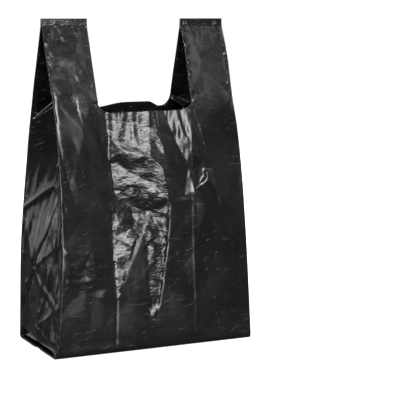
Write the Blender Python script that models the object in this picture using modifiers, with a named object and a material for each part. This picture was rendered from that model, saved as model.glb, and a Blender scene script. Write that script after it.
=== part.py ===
"""Vest carrier bag: one gusseted tube of film, welded across the bottom and across both handle tops.

The film is laid out as the flat tube is made, the U of the mouth is cut through all its layers, and the
tube is then opened to the shape in which it stands. Metres, +Z up, width along X, front at -Y, base at z = 0.
Only the front left quarter is laid out. Two mirrors make the whole bag.
"""

import math

import bmesh
import bpy

# The flat film, as it comes off the bag machine.
FRONT_WIDTH = 0.292
GUSSET_DEPTH = 0.0825
HANDLE_WIDTH = 0.0705
CUT_RADIUS = 0.019
FILM = 0.0003
WELD_HEIGHT = 0.009

# The bag as it stands open.
BASE_HALF_DEPTH = 0.075
MOUTH_HALF_DEPTH = 0.041
MOUTH_HEIGHT = 0.326
HANDLE_HEIGHT = 0.450
TOP_HALF_WIDTH = 0.135
BASE_CORNER_RADIUS = 0.007
WELD_HALF_GAP = 0.00105
LAYER_GAP = 0.0006

# The gusset: how far its middle crease is pushed in, from the base up to the mouth.
CREASE_IN_AT_BASE = 0.006
CREASE_IN_AT_WAIST = 0.018
WAIST_HEIGHT = 0.165
HANDLE_LAYER_GAP = 0.0016
GAP_REACH = 0.012
TWIST_HEIGHT = 0.030

# The tuck under each gusset.
TUCK_LAYER = 0.0011
TUCK_MOUTH = 0.0085
TUCK_FADE = 0.060
TUCK_SHOULDER = 4.0
FOLD_REACH = 0.004

# The weld across the base, folded flat against it, and the low arch that makes room for it.
BASE_FIN = 0.008
BASE_ARCH = 0.0016
BASE_ARCH_HALF_WIDTH = 0.014

# How finely the film is divided.
COLUMNS_UNDER_HANDLE = 9
COLUMNS_UNDER_MOUTH = 4
COLUMNS_IN_GUSSET = 8
BASE_ROWS = 8
CORNER_ROWS = 3
WALL_ROWS = 15
CUT_ROWS = 5
HANDLE_ROWS = 6

MERGE = 0.00001
MIRROR_MERGE = 0.0001


def clear_scene():
    """Removes every object that is there at the start."""
    for obj in list(bpy.data.objects):
        bpy.data.objects.remove(obj, do_unlink=True)


def collection(name):
    """A new collection in the scene."""
    made = bpy.data.collections.new(name)
    bpy.context.scene.collection.children.link(made)
    return made


def ease(share):
    """Goes smoothly from 0 to 1 as share does, and stays level outside."""
    share = min(1.0, max(0.0, share))
    return share * share * (3 - 2 * share)


def mix(a, b, share):
    """The value that lies this share of the way from a to b."""
    return a + (b - a) * share


# --- the side view of the front panel: from the base weld, round the corner, up the wall and the handle ---

WALL_RISE = math.hypot(MOUTH_HEIGHT, BASE_HALF_DEPTH - MOUTH_HALF_DEPTH)
HANDLE_RISE = math.hypot(HANDLE_HEIGHT - MOUTH_HEIGHT, MOUTH_HALF_DEPTH - WELD_HALF_GAP)
CORNER_AT = BASE_HALF_DEPTH
MOUTH_AT = CORNER_AT + WALL_RISE
TOP_AT = MOUTH_AT + HANDLE_RISE
CUT_TOP_AT = MOUTH_AT + CUT_RADIUS


def side_view(along):
    """(y, z) of the front panel's film at this distance from the base weld, its corner still sharp."""
    if along <= CORNER_AT:
        return -along, 0.0
    if along <= MOUTH_AT:
        share = (along - CORNER_AT) / WALL_RISE
        return -mix(BASE_HALF_DEPTH, MOUTH_HALF_DEPTH, share), MOUTH_HEIGHT * share
    share = (along - MOUTH_AT) / HANDLE_RISE
    depth = mix(MOUTH_HALF_DEPTH, WELD_HALF_GAP, share)
    return -depth, mix(MOUTH_HEIGHT, HANDLE_HEIGHT, share)


def rounded_side_view(along):
    """side_view with its base corner rounded, as a blend of the two straight runs that meet there."""
    before, after = CORNER_AT - BASE_CORNER_RADIUS, CORNER_AT + BASE_CORNER_RADIUS
    if not before < along < after:
        return side_view(along)
    share = (along - before) / (after - before)
    start, corner, end = side_view(before), side_view(CORNER_AT), side_view(after)
    return tuple(
        (1 - share) ** 2 * a + 2 * share * (1 - share) * b + share**2 * c
        for a, b, c in zip(start, corner, end)
    )


def half_width(height):
    """Half the front panel's width at this height. The handles lean in a little."""
    lean = math.sin(math.pi / 2 * min(1.0, height / HANDLE_HEIGHT))
    return mix(FRONT_WIDTH / 2, TOP_HALF_WIDTH, lean)


def base_arch(depth):
    """How far the base film is lifted over the folded weld at its middle."""
    return BASE_ARCH * (1 - ease(abs(depth) / BASE_ARCH_HALF_WIDTH))


def crease_in(height, half_depth):
    """How far the gusset's middle crease lies inside the outer folds. Above the waist the film is taut."""
    taut = math.sqrt(GUSSET_DEPTH**2 - half_depth**2)
    slack = mix(CREASE_IN_AT_BASE, CREASE_IN_AT_WAIST, ease(height / WAIST_HEIGHT))
    return mix(slack, taut, ease((height - WAIST_HEIGHT) / (MOUTH_HEIGHT - WAIST_HEIGHT)))


def cut_edge(along):
    """How far in from the outer fold the U-shaped cut lies: wide at the mouth, a handle's width above."""
    if along >= CUT_TOP_AT:
        return HANDLE_WIDTH
    rise = min(CUT_RADIUS, CUT_TOP_AT - along)
    return HANDLE_WIDTH + CUT_RADIUS - math.sqrt(CUT_RADIUS**2 - rise**2)


# --- where a point of the flat film lies on the standing bag ---


def front_point(from_fold, along):
    """The front panel and its strap: from_fold is the distance in from the outer fold."""
    depth, height = rounded_side_view(along)
    scale = half_width(height) / (FRONT_WIDTH / 2)
    on_fold = max(0.0, 1 - from_fold / FOLD_REACH) * max(0.0, 1 - along / CORNER_AT)
    lift = base_arch(depth) if along < CORNER_AT else 0.0
    return (
        -(FRONT_WIDTH / 2 - from_fold) * scale,
        depth,
        height + lift + on_fold * TUCK_LAYER / 2,
    )


def tuck_height(inward, sideways):
    """Height of the gusset film that is folded in over the base, from its mouth to its point."""
    room = 1 - inward / BASE_HALF_DEPTH
    share = 1 - (inward + sideways) / BASE_HALF_DEPTH
    opened = min(1.0, TUCK_SHOULDER * share / max(room, 1e-6)) if room > 0 else 0.0
    return mix(2 * TUCK_LAYER, TUCK_MOUTH, opened * room) + base_arch(sideways)


def tuck_point(across, along):
    """The gusset below the base corner: a triangle on the base film, and one folded back over it."""
    edge = FRONT_WIDTH / 2
    side = across * BASE_HALF_DEPTH / GUSSET_DEPTH
    if side + along <= BASE_HALF_DEPTH:
        layer = mix(TUCK_LAYER, 2 * TUCK_LAYER, (side + along) / BASE_HALF_DEPTH)
        if across == 0:
            layer = mix(TUCK_LAYER / 2, 0, along / BASE_HALF_DEPTH)
        return -edge + side, -along, layer + base_arch(along)
    inward = BASE_HALF_DEPTH - along
    sideways = BASE_HALF_DEPTH - side
    return -edge + inward, -sideways, tuck_height(inward, sideways)


def gusset_point(across, along):
    """The front half of the left gusset: across is the distance in from the outer fold."""
    if along < CORNER_AT:
        return tuck_point(across, along)
    depth, height = side_view(along)
    share = across / GUSSET_DEPTH
    outer = -half_width(height)
    inner = outer + crease_in(height, -depth)
    folded = (mix(outer, inner, share), mix(depth, 0.0, share))
    gap = mix(HANDLE_LAYER_GAP, LAYER_GAP, ease((along - MOUTH_AT) / HANDLE_RISE))
    flat = (outer + across, depth + gap * ease(across / GAP_REACH))
    lie = ease((along - gusset_cut_at()) / TWIST_HEIGHT)
    sideways = (1 - share) * BASE_HALF_DEPTH
    lift = tuck_height(0.0, sideways) * (1 - ease((along - CORNER_AT) / TUCK_FADE))
    if across == 0:
        return outer, *rounded_side_view(along)
    return mix(folded[0], flat[0], lie), mix(folded[1], flat[1], lie), height + lift


def gusset_cut_at():
    """Where along the film the cut first reaches the gusset's middle crease."""
    reach = HANDLE_WIDTH + CUT_RADIUS - GUSSET_DEPTH
    return CUT_TOP_AT - math.sqrt(CUT_RADIUS**2 - reach**2)


# --- the film's divisions ---


def steps(start, end, count):
    """count + 1 evenly spaced values from start to end."""
    return [mix(start, end, i / count) for i in range(count + 1)]


def body_rows():
    """Distances from the base weld of the rows below the mouth, closer together round the base corner."""
    before, after = CORNER_AT - BASE_CORNER_RADIUS, CORNER_AT + BASE_CORNER_RADIUS
    rows = steps(0.0, before, BASE_ROWS)
    rows += steps(before, CORNER_AT, CORNER_ROWS)[1:]
    rows += steps(CORNER_AT, after, CORNER_ROWS)[1:]
    return rows + steps(after, MOUTH_AT, WALL_ROWS)[1:]


def handle_rows():
    """Distances from the base weld of the rows in the handle, following the round of the cut."""
    curve = [CUT_TOP_AT - CUT_RADIUS * math.cos(a) for a in steps(0, math.pi / 2, CUT_ROWS)]
    curve = [MOUTH_AT, gusset_cut_at()] + [v for v in curve if v > gusset_cut_at() + 0.001]
    return curve + steps(CUT_TOP_AT, TOP_AT - WELD_HEIGHT / 2, HANDLE_ROWS)[1:]


def patch(mesh, columns, rows, place):
    """One patch of film: a grid whose point (column, row) is moved to place(column, row)."""
    across, up = len(columns) - 1, len(rows) - 1
    grid = bmesh.ops.create_grid(mesh, x_segments=across, y_segments=up, size=0.5)
    for vertex in grid["verts"]:
        i = round((vertex.co.x + 0.5) * across)
        j = round((vertex.co.y + 0.5) * up)
        vertex.co = place(columns[i], rows[j])


def film_quarter():
    """The mesh of the front left quarter of the film, open at both mirror planes."""
    under_handle = steps(0.0, 1.0, COLUMNS_UNDER_HANDLE)
    reach = HANDLE_WIDTH + CUT_RADIUS
    under_mouth = steps(reach, FRONT_WIDTH / 2, COLUMNS_UNDER_MOUTH)
    gusset = steps(0.0, 1.0, COLUMNS_IN_GUSSET)
    front_columns = [share * reach for share in under_handle] + under_mouth[1:]

    mesh = bmesh.new()
    patch(mesh, front_columns, body_rows(), front_point)
    patch(mesh, under_handle, handle_rows(), lambda u, v: front_point(u * cut_edge(v), v))
    patch(mesh, gusset, body_rows(), lambda u, v: gusset_point(u * GUSSET_DEPTH, v))
    patch(
        mesh,
        gusset,
        handle_rows(),
        lambda u, v: gusset_point(u * min(GUSSET_DEPTH, cut_edge(v)), v),
    )
    bmesh.ops.remove_doubles(mesh, verts=mesh.verts, dist=MERGE)
    bmesh.ops.recalc_face_normals(mesh, faces=mesh.faces)
    data = bpy.data.meshes.new("film")
    mesh.to_mesh(data)
    mesh.free()
    return data


def box(name, low, high, home):
    """A closed box between two corners, kept out of the result as a helper."""
    bpy.ops.mesh.primitive_cube_add(size=1)
    made = bpy.context.object
    made.name = name
    made.scale = [b - a for a, b in zip(low, high)]
    made.location = [(a + b) / 2 for a, b in zip(low, high)]
    bpy.ops.object.transform_apply(location=True, rotation=False, scale=True)
    for old in list(made.users_collection):
        old.objects.unlink(made)
    home.objects.link(made)
    made.hide_render = True
    made.display_type = "WIRE"
    return made


def handle_weld(side, home):
    """The weld that joins the four layers of one handle at its top. side is -1 on the left."""
    outer = half_width(HANDLE_HEIGHT) + 0.0004
    inner = half_width(HANDLE_HEIGHT) - HANDLE_WIDTH - 0.0004
    ends = sorted((side * outer, side * inner))
    thick = WELD_HALF_GAP + 0.0007
    low = (ends[0], -thick, HANDLE_HEIGHT - WELD_HEIGHT)
    high = (ends[1], thick, HANDLE_HEIGHT)
    return box("handle_weld_left" if side < 0 else "handle_weld_right", low, high, home)


def base_weld(home):
    """The two boxes of the base weld: a web down from the film, and the fin folded flat below the arch."""
    reach = FRONT_WIDTH / 2 - 0.0006
    web = box("base_web", (-reach, -0.0005, 0.0004), (reach, 0.0005, BASE_ARCH + 0.0002), home)
    fin = box("base_fin", (-reach, -0.0005, 0.0004), (reach, BASE_FIN, 0.0009), home)
    return web, fin


def black_film():
    """Glossy black film."""
    material = bpy.data.materials.new("black_film")
    material.use_nodes = True
    shader = material.node_tree.nodes["Principled BSDF"]
    shader.inputs["Base Color"].default_value = (0.012, 0.012, 0.013, 1.0)
    shader.inputs["Roughness"].default_value = 0.32
    shader.inputs["Metallic"].default_value = 0.0
    return material


def carrier_bag(home, helpers):
    """The bag: the quarter of film mirrored twice, given its thickness, and welded."""
    bag = bpy.data.objects.new("carrier_bag", film_quarter())
    home.objects.link(bag)
    bag.data.materials.append(black_film())

    mirror = bag.modifiers.new("whole_bag", "MIRROR")
    mirror.use_axis = (True, True, False)
    mirror.merge_threshold = MIRROR_MERGE

    thickness = bag.modifiers.new("film_thickness", "SOLIDIFY")
    thickness.thickness = FILM
    thickness.offset = 0.0

    for part in (handle_weld(-1, helpers), handle_weld(1, helpers), *base_weld(helpers)):
        weld = bag.modifiers.new(part.name, "BOOLEAN")
        weld.operation = "UNION"
        weld.solver = "EXACT"
        weld.object = part

    bag.location.z = FILM / 2
    return bag


def main():
    """Builds the bag."""
    clear_scene()
    carrier_bag(collection("vest_carrier_bag"), collection("helpers"))


main()
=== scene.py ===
"""The looks of a vest carrier bag: one gusseted tube of glossy black film, standing open.

The film is laid out flat, folded into the bag's standing form, and then given its relief: the marks of
the folds it was packed in, the crumples of its front, the slack of its gussets and the puckers at its
welds. Metres throughout, except that creases are placed in millimetres on the standing bag.
"""

import logging
import math
import random
from dataclasses import dataclass
from enum import Enum

import bmesh
import bpy
import numpy as np
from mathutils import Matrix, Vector
from mathutils.bvhtree import BVHTree
from mathutils.geometry import delaunay_2d_cdt

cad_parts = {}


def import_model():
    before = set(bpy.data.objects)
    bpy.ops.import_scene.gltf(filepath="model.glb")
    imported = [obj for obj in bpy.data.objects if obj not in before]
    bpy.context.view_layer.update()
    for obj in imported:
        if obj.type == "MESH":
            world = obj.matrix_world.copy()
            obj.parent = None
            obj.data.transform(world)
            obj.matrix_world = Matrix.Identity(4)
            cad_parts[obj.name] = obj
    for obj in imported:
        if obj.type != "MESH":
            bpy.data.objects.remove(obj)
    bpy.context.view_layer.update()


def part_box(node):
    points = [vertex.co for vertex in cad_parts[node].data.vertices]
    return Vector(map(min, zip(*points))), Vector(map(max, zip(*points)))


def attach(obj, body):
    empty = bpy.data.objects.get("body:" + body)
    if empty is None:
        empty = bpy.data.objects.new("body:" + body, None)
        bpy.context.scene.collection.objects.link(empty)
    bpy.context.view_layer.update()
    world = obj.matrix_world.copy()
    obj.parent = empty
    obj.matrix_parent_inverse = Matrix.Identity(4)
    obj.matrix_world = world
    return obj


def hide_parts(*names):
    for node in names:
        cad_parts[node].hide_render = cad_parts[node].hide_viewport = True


LOG = logging.getLogger("carrier_bag")
NODE = "carrier_bag"
MM = 0.001
# Points of neighbouring patches that are closer than this become one.
MERGE = 0.00002
# A point this close to an outer fold lies on it.
ON_FOLD = 1e-7
TINY = 1e-6
# Corners of a fold map that are closer than this, in millimetres, are one.
SAME_CORNER = 1e-5
# How much of the frame's wall lies outside the middle of the film.
OUTER_WALL = 0.00015
# How far a handle's weld reaches past the film on either side.
WELD_OVERLAP = 0.0001


class Panel(Enum):
    """The four panels of the tube of film."""

    FRONT = 0
    RIGHT = 1
    REAR = 2
    LEFT = 3


def mix(a: float, b: float, share: float) -> float:
    """The value that lies this share of the way from a to b."""
    return a + (b - a) * share


def ease(share: float) -> float:
    """Goes smoothly from 0 to 1 as share does, and stays level outside."""
    share = min(1.0, max(0.0, share))
    return share * share * (3 - 2 * share)


def fade(share: np.ndarray) -> np.ndarray:
    """ease for every value of an array."""
    share = np.clip(share, 0.0, 1.0)
    return share * share * (3 - 2 * share)


def steps(start: float, end: float, count: int) -> list[float]:
    """count + 1 evenly spaced values from start to end."""
    return [mix(start, end, i / count) for i in range(count + 1)]


@dataclass(frozen=True)
class Profile:
    """A smooth curve of millimetres against height, through a few points (height, value)."""

    points: tuple[tuple[float, float], ...]

    def at(self, height: float) -> float:
        """The value at a height.

        Args:
            height: height in metres.

        Returns:
            The value in metres, level beyond the first and last points.
        """
        h = height / MM
        points = self.points
        if h <= points[0][0]:
            return points[0][1] * MM
        if h >= points[-1][0]:
            return points[-1][1] * MM
        i = max(k for k in range(len(points) - 1) if points[k][0] <= h)
        (h0, v0), (h1, v1) = points[i], points[i + 1]
        run = h1 - h0
        before = points[i - 1] if i else (h0 - run, v0)
        after = points[i + 2] if i + 2 < len(points) else (h1 + run, v1)
        slope0 = (v1 - before[1]) / (h1 - before[0]) * run
        slope1 = (after[1] - v0) / (after[0] - h0) * run
        t = (h - h0) / run
        a = (2 * t**3 - 3 * t**2 + 1) * v0 + (t**3 - 2 * t**2 + t) * slope0
        b = (-2 * t**3 + 3 * t**2) * v1 + (t**3 - t**2) * slope1
        return (a + b) * MM


@dataclass(frozen=True)
class Film:
    """The flat film and how the bag stands: where each point of the film lies in space.

    A point is named by its panel, by how far across that panel's middle it lies, and by how far along
    the film it lies from the base weld.
    """

    half_width: float
    half_depth: float
    height: float
    gusset_depth: float = 0.0825
    handle_width: float = 0.0705
    cut_radius: float = 0.019
    mouth_half_depth: float = 0.041
    mouth_height: float = 0.326
    top_half_gap: float = 0.0005
    corner_radius: float = 0.007
    lean_radius: float = 0.045
    layer_gap: float = 0.0003
    handle_layer_gap: float = 0.0014
    tuck_layer: float = 0.0008
    tuck_mouth: float = 0.0085
    tuck_fade: float = 0.05
    twist: float = 0.010
    twist_start: float = 0.018
    twist_climb: float = 0.050
    twist_level: float = 0.75
    plain_climb: float = 0.5
    twist_sharp: float = 0.2
    twist_full: float = 0.55
    flat_reach: float = 0.925
    layer_fade: float = 0.012
    gusset_belly: float = 0.05
    tuck_opening: float = 4.0
    rear_rise: float = 0.0075
    rear_rise_left: float = 0.06
    rear_rise_right: float = 0.02
    rear_rise_past: float = 0.004
    rear_rise_below: float = 0.08
    undercut: float = 0.012
    undercut_height: float = 0.019
    undercut_fade: float = 0.008
    weld: float = 0.010
    arch: float = 0.0016
    arch_half_width: float = 0.014
    front_left: Profile = Profile(
        (
            (0, -147), (25, -143), (60, -138.5), (105, -134), (155, -130.5), (265, -129.5), (325, -132.5),
            (450, -134.5),
        )
    )
    front_right: Profile = Profile(
        ((0, 146), (90, 146), (170, 145), (236, 143), (296, 139), (344, 135.5), (395, 137), (450, 135))
    )
    rear_left: Profile = Profile(
        ((0, -148), (133, -148.5), (212, -145), (272, -141), (325, -137.5), (364, -136.5), (450, -135))
    )
    rear_right: Profile = Profile(((0, 146), (133, 146), (212, 144), (272, 140), (325, 137), (450, 135)))
    crease_left: Profile = Profile(
        ((0, -3), (60, -6), (108, -5), (155, 1), (195, 10), (236, 24), (280, 44), (326, 62))
    )
    crease_right: Profile = Profile(((0, 5), (165, 14), (236, 36), (280, 52), (326, 63)))

    @property
    def wall_rise(self) -> float:
        """Length of film from the base corner up to the mouth."""
        return math.hypot(self.mouth_height, self.half_depth - self.mouth_half_depth)

    @property
    def handle_rise(self) -> float:
        """Length of film from the mouth up to a handle's top."""
        return math.hypot(self.height - self.mouth_height, self.mouth_half_depth - self.top_half_gap)

    @property
    def mouth_at(self) -> float:
        """Where along the film the mouth is cut."""
        return self.half_depth + self.wall_rise

    @property
    def top_at(self) -> float:
        """Where along the film a handle ends."""
        return self.mouth_at + self.handle_rise

    @property
    def cut_top_at(self) -> float:
        """Where along the film the round of the cut ends and the straight edge of the handle starts."""
        return self.mouth_at + self.cut_radius

    @property
    def gusset_cut_at(self) -> float:
        """Where along the film the cut first reaches a gusset's middle crease."""
        reach = self.handle_width + self.cut_radius - self.gusset_depth
        return self.cut_top_at - math.sqrt(self.cut_radius**2 - reach**2)

    def cut_edge(self, along: float) -> float:
        """How far in from the outer fold the cut lies: wide at the mouth, a handle's width above."""
        if along >= self.cut_top_at:
            return self.handle_width
        rise = min(self.cut_radius, self.cut_top_at - along)
        return self.handle_width + self.cut_radius - math.sqrt(self.cut_radius**2 - rise**2)

    def side_view(self, along: float) -> tuple[float, float]:
        """Depth from the middle, and height, of a panel's film, bent gently where a handle leans in."""
        before, after = self.mouth_at - self.lean_radius, self.mouth_at + self.lean_radius
        if before < along < after:
            return self.rounded(before, self.mouth_at, after, along)
        return self.sharp_side_view(along)

    def sharp_side_view(self, along: float) -> tuple[float, float]:
        """side_view with its base corner and the bend at the mouth still sharp."""
        if along <= self.half_depth:
            return along, 0.0
        if along <= self.mouth_at:
            share = (along - self.half_depth) / self.wall_rise
            return mix(self.half_depth, self.mouth_half_depth, share), self.mouth_height * share
        share = (along - self.mouth_at) / self.handle_rise
        closed = min(1.0, share / (1 - self.weld / self.handle_rise))
        depth = mix(self.mouth_half_depth, self.top_half_gap, closed)
        return depth, mix(self.mouth_height, self.height, share)

    def rounded(self, before: float, corner: float, after: float, along: float) -> tuple[float, float]:
        """The side view between two places on either side of a corner, rounded."""
        t = (along - before) / (after - before)
        weights = ((1 - t) ** 2, 2 * t * (1 - t), t**2)
        ends = [self.sharp_side_view(place) for place in (before, corner, after)]
        return sum(w * e[0] for w, e in zip(weights, ends)), sum(w * e[1] for w, e in zip(weights, ends))

    def rounded_side_view(self, along: float) -> tuple[float, float]:
        """side_view with its base corner rounded."""
        before = self.half_depth - self.corner_radius
        after = self.half_depth + self.corner_radius
        if before < along < after:
            return self.rounded(before, self.half_depth, after, along)
        return self.side_view(along)

    def fold_x(self, face: int, side: int, height: float) -> float:
        """X of an outer fold. face is -1 in front, side is -1 on the left."""
        folds = {
            (-1, -1): self.front_left,
            (-1, 1): self.front_right,
            (1, -1): self.rear_left,
            (1, 1): self.rear_right,
        }
        return folds[face, side].at(height)

    def base_arch(self, depth: float) -> float:
        """How far the base film is lifted over the folded weld at its middle."""
        return self.arch * (1 - ease(abs(depth) / self.arch_half_width))

    def panel_point(self, face: int, across: float, along: float) -> Vector:
        """A point of the front or rear panel and its straps.

        Args:
            face: -1 for the front, 1 for the rear.
            across: distance from the panel's middle, growing to the right.
            along: distance from the base weld.

        Returns:
            The place in space.
        """
        depth, height = self.rounded_side_view(along)
        left, right = self.fold_x(face, -1, height), self.fold_x(face, 1, height)
        share = 0.5 + across / (2 * self.half_width)
        lift = self.base_arch(depth) if along < self.half_depth else 0.0
        if face > 0:
            lift += self.rear_rise * self.rear_swell(across, along)
        return Vector((mix(left, right, share), face * depth, height + lift))

    def rear_swell(self, across: float, along: float) -> float:
        """Where the rear panel's mouth stands higher than the front's, from 0 to 1."""
        reach = self.half_width - self.handle_width - self.cut_radius
        sideways = ease((reach + across) / self.rear_rise_left)
        sideways *= ease((reach + self.rear_rise_past - across) / self.rear_rise_right)
        return sideways * ease((along - self.mouth_at + self.rear_rise_below) / self.rear_rise_below)

    def tuck_height(self, inward: float, sideways: float) -> float:
        """Height of the gusset film that is folded in over the base, from its mouth to its point."""
        room = max(1 - inward / self.half_depth, TINY)
        share = 1 - (inward + sideways) / self.half_depth
        opened = min(1.0, self.tuck_opening * share / room)
        return mix(2 * self.tuck_layer, self.tuck_mouth, opened * room) + self.base_arch(sideways)

    def gusset_point(self, side: int, across: float, along: float) -> Vector:
        """A point of a gusset.

        Args:
            side: -1 for the left gusset, 1 for the right.
            across: distance from the middle crease, negative towards the front.
            along: distance from the base weld.

        Returns:
            The place in space.
        """
        face = -1 if across < 0 else 1
        in_from_fold = self.gusset_depth - abs(across)
        if along < self.half_depth:
            return self.tuck_point(side, face, in_from_fold, along)
        if in_from_fold < ON_FOLD:
            return self.panel_point(face, side * self.half_width, along)
        depth, height = self.side_view(along)
        share = in_from_fold / self.gusset_depth
        outer = self.fold_x(face, side, height)
        middle = (self.fold_x(-1, side, height) + self.fold_x(1, side, height)) / 2
        crease = (self.crease_left if side < 0 else self.crease_right).at(height)
        belly = math.sin(math.pi * share) * self.gusset_belly * crease
        folded = (mix(outer, middle - side * crease, share) + side * belly, face * depth * (1 - share))
        gap = mix(self.handle_layer_gap, self.layer_gap, ease((along - self.mouth_at) / self.handle_rise))
        gap *= ease(in_from_fold / self.layer_fade)
        flat = (outer - side * in_from_fold * self.flat_reach, face * (depth - gap))
        lie = self.lie(side, face, share, along)
        lift = self.tuck_height(0.0, (1 - share) * self.half_depth)
        lift *= 1 - ease((along - self.half_depth) / self.tuck_fade)
        under = max(0.0, 1 - (height + lift) / self.undercut_height)
        under *= ease(in_from_fold / self.undercut_fade)
        folded = (folded[0] - side * self.undercut * under, folded[1])
        return Vector((mix(folded[0], flat[0], lie), mix(folded[1], flat[1], lie), height + lift))

    def lie(self, side: int, face: int, share: float, along: float) -> float:
        """How far the gusset has turned flat behind its handle, from 0 in the body to 1."""
        climb = self.twist_climb if (side, face) == (-1, 1) else self.plain_climb * self.twist_climb
        start = self.gusset_cut_at - self.twist_start + climb * min(share, self.twist_level)
        run = self.twist * mix(self.twist_sharp, 1.0, min(1.0, share / self.twist_full))
        return min(1.0, max(0.0, (along - start) / run))

    def tuck_point(self, side: int, face: int, in_from_fold: float, along: float) -> Vector:
        """A point of a gusset below the base corner, where it is folded in over the base."""
        edge = abs(self.fold_x(face, side, 0.0))
        inset = in_from_fold * self.half_depth / self.gusset_depth
        if in_from_fold < ON_FOLD:
            return self.panel_point(face, side * self.half_width, along)
        if inset + along <= self.half_depth:
            layer = self.tuck_layer * mix(1, 2, (inset + along) / self.half_depth)
            return Vector((side * (edge - inset), face * along, layer + self.base_arch(along)))
        inward, sideways = self.half_depth - along, self.half_depth - inset
        return Vector((side * (edge - inward), face * sideways, self.tuck_height(inward, sideways)))


@dataclass(frozen=True)
class Mesh:
    """How finely each stretch of the film is divided."""

    under_handle: int = 54
    under_mouth: int = 70
    rear_under_handle: int = 20
    rear_under_mouth: int = 26
    left_gusset: int = 74
    right_gusset: int = 30
    base_rows: int = 12
    corner_rows: int = 4
    wall_rows: int = 160
    cut_rows: int = 8
    handle_rows: int = 68
    row_gap: float = 0.0005


@dataclass(frozen=True)
class Crease:
    """A fold line on a panel: a ridge with its own slope on either side.

    path holds points (across, height) in millimetres as the bag stands. height is how far the ridge stands
    out, or in where it is negative. left and right are how far its slopes run, to the left and to the
    right of somebody who walks along the path.
    """

    path: tuple[tuple[float, float], ...]
    height: float
    left: float
    right: float
    tapers: bool = True
    blunt: float = 0.02
    fullness: float = 0.6

    def relief(self, across: np.ndarray, height: np.ndarray) -> np.ndarray:
        """How far the ridge lifts each point, in millimetres."""
        lengths = [math.dist(a, b) for a, b in zip(self.path, self.path[1:])]
        total = sum(lengths)
        best = np.full(across.shape, np.inf)
        lift = np.zeros(across.shape)
        walked = 0.0
        for (a, b), length in zip(zip(self.path, self.path[1:]), lengths):
            ux, uz = (b[0] - a[0]) / length, (b[1] - a[1]) / length
            dx, dz = across - a[0], height - a[1]
            run = np.clip(dx * ux + dz * uz, 0, length)
            away = np.hypot(dx - run * ux, dz - run * uz)
            reach = np.where(ux * dz - uz * dx > 0, self.left, self.right)
            share = (walked + run) / total
            taper = np.sin(np.pi * np.clip(share, self.blunt, 1 - self.blunt)) ** self.fullness
            strength = taper if self.tapers else 1.0
            value = self.height * strength * np.clip(1 - away / (reach * strength + TINY), 0, 1)
            nearer = away < best
            lift = np.where(nearer, value, lift)
            best = np.minimum(best, away)
            walked += length
        return lift


def drop(tree: BVHTree, across: np.ndarray, height: np.ndarray, start: float) -> np.ndarray:
    """How far a surface stands out at each point, found with rays from the start level; 0 beside it."""
    down = Vector((0, 0, -1))
    hits = [tree.ray_cast(Vector((x, z, start)), down)[0] for x, z in zip(across, height)]
    return np.array([hit.z if hit else 0.0 for hit in hits])


class Field(Enum):
    """The stretches of film that crumples are laid over: two opposite corners, in millimetres."""

    PANEL = ((-160.0, -10.0), (160.0, 460.0))
    STRAP = ((-160.0, 300.0), (160.0, 470.0))
    GUSSET = ((-90.0, -10.0), (90.0, 470.0))


@dataclass(frozen=True)
class Facets:
    """Crumples: a field of flat facets over random points.

    cell is the facets' width and height, and height how far they stand in and out, in millimetres. lean
    is how far the field slides sideways with each millimetre of height.
    """

    seed: int
    cell: tuple[float, float]
    height: float
    field: Field = Field.PANEL
    lean: float = 0.0
    jitter: float = 0.45
    ray_start: float = 2.0

    def relief(self, across: np.ndarray, height: np.ndarray) -> np.ndarray:
        """The field's height at each point, in millimetres."""
        rng = random.Random(self.seed)
        low, high = self.field.value
        points, levels = [], []
        columns = int((high[0] - low[0]) / self.cell[0]) + 2
        rows = int((high[1] - low[1]) / self.cell[1]) + 2
        for i in range(columns):
            for j in range(rows):
                x = low[0] + (i + rng.uniform(-self.jitter, self.jitter)) * self.cell[0]
                z = low[1] + (j + rng.uniform(-self.jitter, self.jitter)) * self.cell[1]
                points.append(Vector((x / self.cell[0], z / self.cell[1])))
                levels.append(rng.uniform(-1, 1))
        flat, _, faces, origins, *_ = delaunay_2d_cdt(points, [], [], 0, TINY)
        tops = [Vector((p.x, p.y, levels[o[0]])) for p, o in zip(flat, origins)]
        tree = BVHTree.FromPolygons(tops, faces)
        slid = across + self.lean * height
        return self.height * drop(tree, slid / self.cell[0], height / self.cell[1], self.ray_start)


@dataclass(frozen=True)
class FoldMap:
    """Large flat facets between fold lines that are placed one by one.

    points names each corner: (across, height, how far it stands out), in millimetres. folds lists the
    corners that each fold line passes through, so that no facet crosses it.
    """

    points: dict[str, tuple[float, float, float]]
    folds: tuple[str, ...]
    depth: float = 1.0
    ray_start: float = 50.0

    def relief(self, across: np.ndarray, height: np.ndarray) -> np.ndarray:
        """How far the facets stand out at each point, in millimetres."""
        names = list(self.points)
        flat = [Vector(self.points[name][:2]) for name in names]
        edges = []
        for fold in self.folds:
            along = [names.index(name) for name in fold.split()]
            edges += list(zip(along, along[1:]))
        spots, _, faces, origins, *_ = delaunay_2d_cdt(flat, edges, [], 0, SAME_CORNER)
        levels = [self.points[names[o[0]]][2] if o else 0.0 for o in origins]
        tree = BVHTree.FromPolygons([Vector((s.x, s.y, h)) for s, h in zip(spots, levels)], faces)
        return self.depth * drop(tree, across, height, self.ray_start)


def between(value: np.ndarray, low: float, high: float, soft: float) -> np.ndarray:
    """1 between two limits, fading to 0 over the soft distance outside them."""
    return fade((value - low) / soft + 1) * fade((high - value) / soft + 1)


def above(value: np.ndarray, start: float, soft: float) -> np.ndarray:
    """Grows from 0 at the start to 1 over the soft distance above it."""
    return fade((value - start) / soft)


def below(value: np.ndarray, end: float, soft: float) -> np.ndarray:
    """Grows from 0 at the end to 1 over the soft distance below it."""
    return fade((end - value) / soft)


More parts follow.
